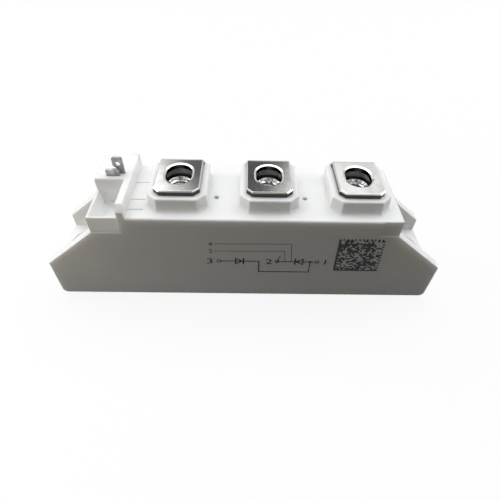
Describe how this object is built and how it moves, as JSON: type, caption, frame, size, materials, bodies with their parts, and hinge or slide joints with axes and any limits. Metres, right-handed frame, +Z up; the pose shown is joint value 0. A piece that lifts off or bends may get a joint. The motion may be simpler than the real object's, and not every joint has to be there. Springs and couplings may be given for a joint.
{
  "type": "half-controlled thyristor bridge module",
  "caption": "White moulded power module with screw terminals in line on raised seats, control tabs in a bay at one end, and open screw bays at both ends of its base.",
  "frame": {"origin": "centre of the base plate's underside", "axes": "+X along the length, from the control tabs' end to the far end; +Y to the rear; +Z up from the base to the terminals"},
  "size_m": [0.093, 0.02, 0.0326],
  "materials": {
    "housing_plastic": "white glass-filled moulding, satin, slightly translucent",
    "base_plating": "nickel-plated copper, lapped flat",
    "terminal_plating": "bright nickel plating",
    "nut_steel": "zinc-plated steel",
    "tab_plating": "tinned sheet, stamped",
    "adhesive": "cured white silicone film",
    "solder": "dull soft solder",
    "copper_foil": "bare copper foil",
    "alumina": "fired white ceramic",
    "silicon": "polished grey silicon",
    "contact_metal": "grey contact metal",
    "lead_sleeve": "soft red sleeve over a stranded wire",
    "gel": "clear soft silicone gel"
  },
  "bodies": {
    "root": {"adhesive_film": "adhesive", "base_plate": "base_plating", "cathode_lead": "lead_sleeve", "cathode_tab": "tab_plating", "ceramic_plate": "alumina", "common_pad": "copper_foil", "diode_die": "silicon", "diode_disc": "contact_metal", "diode_solder": "solder", "gate_lead": "lead_sleeve", "gate_tab": "tab_plating", "housing": "housing_plastic", "lower_foil": "copper_foil", "silicone_gel": "gel", "substrate_solder": "solder", "terminal_1": "terminal_plating", "terminal_2": "terminal_plating", "terminal_3": "terminal_plating", "terminal_nuts": "nut_steel", "thyristor_die": "silicon", "thyristor_disc": "contact_metal", "thyristor_solder": "solder"}
  },
  "joints": []
}
